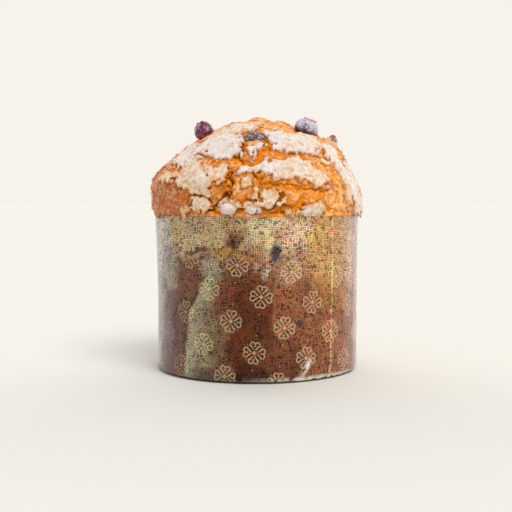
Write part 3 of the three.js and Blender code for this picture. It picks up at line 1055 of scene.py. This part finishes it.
loaf_shade = glazed.mix(glaze_cover, crumb_shade, glaze_shade)

# Loose sugar caught on the crests of the bare crumb.
sugar_specks = glazed.cells(here, 1.7 * mm)
caught = glazed.times(glazed.step(sugar_specks, 0.34, 0.2), glazed.step(hollow_mark, 0.0, 0.3))
loaf_shade = glazed.layered(loaf_shade, (caught, (255, 238, 220), 0.55))

loaf_gloss = glazed.mix(glaze_cover, (0.5, 0.5, 0.5, 1), (0.8, 0.8, 0.8, 1))
grain_height = glazed.math("MULTIPLY_ADD", middle_noise, 1.6, fine_noise)
grain_height = glazed.times(grain_height, glazed.scaled(glaze_cover, 1.0, 0.55))
crumb.data.materials.clear()
crumb.data.materials.append(
    glazed.finish(
        Base_Color=loaf_shade,
        Roughness=loaf_gloss,
        Normal=glazed.bump(grain_height, 0.42 * mm),
        Specular_IOR_Level=glazed.scaled(glaze_cover, 0.04, 0.15),
        Subsurface_Weight=0.12,
        Subsurface_Radius=(2.4 * mm, 1.1 * mm, 0.4 * mm),
        Subsurface_Scale=1.0,
    )
)
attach(crumb, "root")
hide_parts("loaf")


# Plump blueberries, one at the front right of the crown and one behind it. Fresh fruit pressed into the
# dome before baking: a waxy grey bloom over dark plum skin, and a dried crown of five short lobes.
def rounded(name):
    """A smooth closed ball of radius 1 at the origin, its pole upwards."""
    bpy.ops.object.select_all(action="DESELECT")
    bpy.ops.mesh.primitive_uv_sphere_add(segments=56, ring_count=40, radius=1)
    made = bpy.context.object
    made.name = name
    return made


def berry(name, finish, dented=0.0, crown=1.0):
    """A blueberry that stands for the CAD node of that name: crown, crater and wrinkles, then its place."""
    made = rounded("fruit_" + name)
    ball = places_of(made)
    seed = len(name) * 3.1 + ord(name[-2])  # each berry its own, from its name
    spin = np.arctan2(ball[:, 1], ball[:, 0])
    from_pole = np.arccos(np.clip(ball[:, 2], -1, 1))
    jagged = lumps(ball, 0.25, 2, seed=seed + 5)
    lobes = 0.5 + 0.5 * np.cos(5 * spin + seed)
    crater = 1 - smooth(from_pole, 0.16, 0.4)
    collar = hill(from_pole, 0.43 + 0.05 * lobes, 0.1)
    swell = 1 + 0.05 * lumps(ball, 0.9, 2, seed=seed) + 0.02 * lumps(ball, 0.22, 3, seed=seed + 2)
    swell = swell - dented * np.abs(lumps(ball, 0.55, 3, seed=seed + 3))
    swell = swell - crown * 0.17 * crater + crown * collar * (0.04 + 0.1 * lobes + 0.05 * jagged)
    centre, axes = topping_place(name)
    move_to(made, (ball * swell[:, None]) @ np.array(axes).T + np.array(centre))
    set_mark(made, "crown", np.clip(crater + collar, 0, 1) * crown)
    set_mark(made, "facing_up", ball[:, 2])
    bpy.ops.object.shade_smooth()
    made.data.materials.append(finish)
    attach(made, "root")
    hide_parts(name)


bloomed = Finish("bloomed_berry")
fruit_place = bloomed.place()
bloom_patches = bloomed.noise(fruit_place, 4 * mm, detail=4, rough=0.6)
bloom_grain = bloomed.noise(fruit_place, 0.9 * mm, detail=3)
crown_mark = bloomed.mark("crown")
skin_shade = bloomed.mix(bloom_patches, tint(52, 22, 44), tint(104, 48, 72))
bloom_amount = bloomed.math("MULTIPLY_ADD", bloom_grain, 0.5, bloom_patches)
# The bloom is made thicker towards the top as painted light.
bloom_and_top_light = bloomed.math("MULTIPLY_ADD", bloomed.mark("facing_up"), 0.22, bloom_amount)
bloom_cover = bloomed.step(bloom_and_top_light, 0.5, 0.86)
bloom_shade = bloomed.mix(bloomed.step(bloom_grain, 0.3, 0.7), tint(158, 148, 172), tint(226, 222, 232))
skin_shade = bloomed.mix(bloom_cover, skin_shade, bloom_shade)
# Painted shade: the underside darkened to maroon.
underside_shade = bloomed.step(bloomed.mark("facing_up"), 0.2, -0.3)
skin_shade = bloomed.layered(skin_shade, (underside_shade, (70, 20, 34), 0.85))
crown_shade = bloomed.mix(bloom_patches, tint(150, 84, 52), tint(214, 150, 100))
crown_cover = bloomed.times(bloomed.step(crown_mark, 0.25, 0.7), 0.85)
skin_shade = bloomed.mix(crown_cover, skin_shade, crown_shade)
bloomed.finish(
    Base_Color=skin_shade,
    Roughness=bloomed.scaled(bloom_cover, 0.35, 0.8),
    Normal=bloomed.bump(bloomed.math("ADD", bloom_grain, bloom_patches), 0.3 * mm),
)
berry("blueberry_right", bloomed.material)
berry("blueberry_back_right", bloomed.material)


# Smaller berries at the left of the crown and behind it. Their skin burst in the oven and bled, so they
# are wine red to purple, shiny, with specks of sugar stuck to them.
burst = Finish("red_berry")
burst_place = burst.place()
bleed = burst.noise(burst_place, 4.5 * mm, detail=3)
sugar_grain = burst.noise(burst_place, 1.1 * mm, detail=4)
burst_shade = burst.mix(burst.step(bleed, 0.35, 0.65), tint(88, 30, 62), tint(140, 50, 74))
violet = burst.step(burst.noise(burst_place, 3 * mm, detail=2), 0.5, 0.65)
stuck = burst.step(burst.math("MULTIPLY_ADD", bleed, 0.7, sugar_grain), 0.92, 1.08)
burst_shade = burst.layered(
    burst_shade,
    (violet, (112, 66, 118), 0.6),
    (stuck, (232, 214, 224), 0.8),
    (burst.step(burst.mark("crown"), 0.3, 0.8), (92, 44, 40), 0.6),
)
burst.finish(
    Base_Color=burst_shade,
    Roughness=burst.scaled(stuck, 0.3, 0.85),
    Normal=burst.bump(burst.math("MULTIPLY_ADD", bleed, 2.0, sugar_grain), 0.3 * mm),
)
berry("blueberry_left", burst.material, dented=0.06)
berry("blueberry_back_left", burst.material, dented=0.06)


# Sunken berry at the front of the crown. It collapsed as it baked: torn open, nearly black, with crumbs of
# sugar glaze in its folds.
baked = Finish("baked_berry")
baked_place = baked.place()
char = baked.noise(baked_place, 2.6 * mm, detail=4, rough=0.65)
ash = baked.noise(baked_place, 1.2 * mm, detail=4, rough=0.7)
baked_shade = baked.mix(baked.step(char, 0.35, 0.65), tint(38, 30, 36), tint(110, 98, 104))
browned = baked.step(baked.noise(baked_place, 5 * mm, detail=2), 0.5, 0.62)
baked_shade = baked.layered(
    baked_shade,
    (baked.step(ash, 0.5, 0.58), (214, 204, 204), 1.0),
    (browned, (126, 70, 36), 0.5),
)
baked.finish(
    Base_Color=baked_shade,
    Roughness=0.55,
    Normal=baked.bump(baked.math("ADD", ash, char), 1.0 * mm),
)
berry("blueberry_top", baked.material, dented=0.5, crown=0.7)


# Two berries squeezed out over the rim at the front. Sugar fell on them and stuck, so they are white domes
# with lilac skin showing through at their edges; the sugar thins towards their undersides, where the lilac is
# painted shade.
sugared = Finish("sugared_berry")
sugared_place = sugared.place()
slanting = sugared.add(
    "ShaderNodeMapping",
    ("Vector", sugared_place),
    ("Rotation", (0, math.radians(-28), 0)),
    ("Scale", (2.2, 1.0, 0.7)),
).outputs[0]
crust_grain = sugared.noise(slanting, 2.2 * mm, detail=4, rough=0.65)
crust_patches = sugared.noise(sugared_place, 4 * mm, detail=3)
under_sugar = sugared.mix(sugared.step(crust_patches, 0.4, 0.6), tint(92, 56, 92), tint(168, 142, 172))
sugar_and_painted_shade = sugared.math("MULTIPLY_ADD", crust_grain, 0.8, sugared.times(crust_patches, 0.5))
# Painted shade: less sugar towards the underside, so the lilac skin shows darker there.
sugar_and_painted_shade = sugared.math("MULTIPLY_ADD", sugared.mark("facing_up"), 0.42, sugar_and_painted_shade)
rubbed_off = sugared.step(sugared.split(sugared_place)["X"], -10 * mm, 2 * mm)
sugar_and_painted_shade = sugared.math("MULTIPLY_ADD", rubbed_off, -0.26, sugar_and_painted_shade)
crust_cover = sugared.step(sugar_and_painted_shade, 0.64, 0.78)
warm_crust = sugared.step(crust_patches, 0.46, 0.6)
sugared_shade = sugared.layered(
    under_sugar,
    (crust_cover, (236, 226, 222), 1.0),
    (warm_crust, (236, 204, 168), 0.6),
)
sugared.finish(
    Base_Color=sugared_shade,
    Roughness=sugared.scaled(crust_cover, 0.4, 0.85),
    Normal=sugared.bump(sugared.math("ADD", crust_grain, crust_patches), 0.8 * mm),
)
berry("blueberry_rim_left", sugared.material, dented=0.2, crown=0.0)
berry("blueberry_rim_right", sugared.material, dented=0.2, crown=0.0)


# Almonds, one at the right shoulder and one behind. Whole nuts pressed point up into the glaze; the brown
# skin has split in the oven and the cream nut shows under it.
nut = Finish("almond")
nut_place = nut.place()
nut_grain = nut.noise(nut_place, 1.3 * mm, detail=4, rough=0.6)
nut_patches = nut.noise(nut_place, 3.4 * mm, detail=2)
nut_shade = nut.mix(nut_grain, tint(214, 164, 112), tint(244, 216, 178))
peeled = nut.math("MULTIPLY_ADD", nut_patches, 1.1, nut.mark("point"))
skin_cover = nut.step(peeled, 0.72, 0.86)
nut_skin = nut.mix(nut.mark("groove"), tint(168, 106, 68), tint(104, 58, 36))
nut_shade = nut.mix(skin_cover, nut_shade, nut_skin)
nut.finish(
    Base_Color=nut_shade,
    Roughness=0.6,
    Normal=nut.bump(nut_grain, 0.4 * mm),
)
for nut_name in ("almond_right", "almond_back"):
    almond = rounded("nut_" + nut_name)
    ball = places_of(almond)
    spin = np.arctan2(ball[:, 1], ball[:, 0])
    groove = 0.5 + 0.5 * np.sin(11 * spin + 2.5 * lumps(ball, 0.8, 2, seed=61))
    taper = 1.08 - 0.2 * ball[:, 2] - 0.12 * smooth(ball[:, 2], 0.4, 1.0)
    width = taper * (1 - 0.035 * groove)
    shaped = ball * np.stack([width, width, np.ones(len(ball))], axis=1)
    shaped = shaped * (1 + 0.05 * lumps(ball, 0.5, 2, seed=62))[:, None]
    nut_centre, nut_axes = topping_place(nut_name)
    move_to(almond, shaped @ np.array(nut_axes).T + np.array(nut_centre))
    set_mark(almond, "groove", groove)
    set_mark(almond, "point", ball[:, 2] * 0.35)
    bpy.ops.object.shade_smooth()
    almond.data.materials.append(nut.material)
    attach(almond, "root")
    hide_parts(nut_name)


# Paper base. A plain disc of the same baking paper, glued under the folded-in margin, browned by butter.
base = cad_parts["mould_base"]
base_paper = Finish("base_paper")
base_place = base_paper.place()
base_fibres = base_paper.noise(base_place, 0.8 * mm, detail=4, rough=0.7)
base_stain = base_paper.step(base_paper.noise(base_place, 26 * mm, detail=4), 0.42, 0.62)
base_shade = base_paper.mix(base_stain, tint(122, 78, 52), tint(178, 146, 106))
base_light = base_paper.scaled(base_fibres, 0.75, 1.25)
base_shade = base_paper.vector("SCALE", base_shade, scale=base_light)
base.data.materials.clear()
base.data.materials.append(
    base_paper.finish(
        Base_Color=base_shade,
        Roughness=base_paper.scaled(base_stain, 0.4, 0.65),
        Normal=base_paper.bump(base_fibres, 0.1 * mm),
    )
)
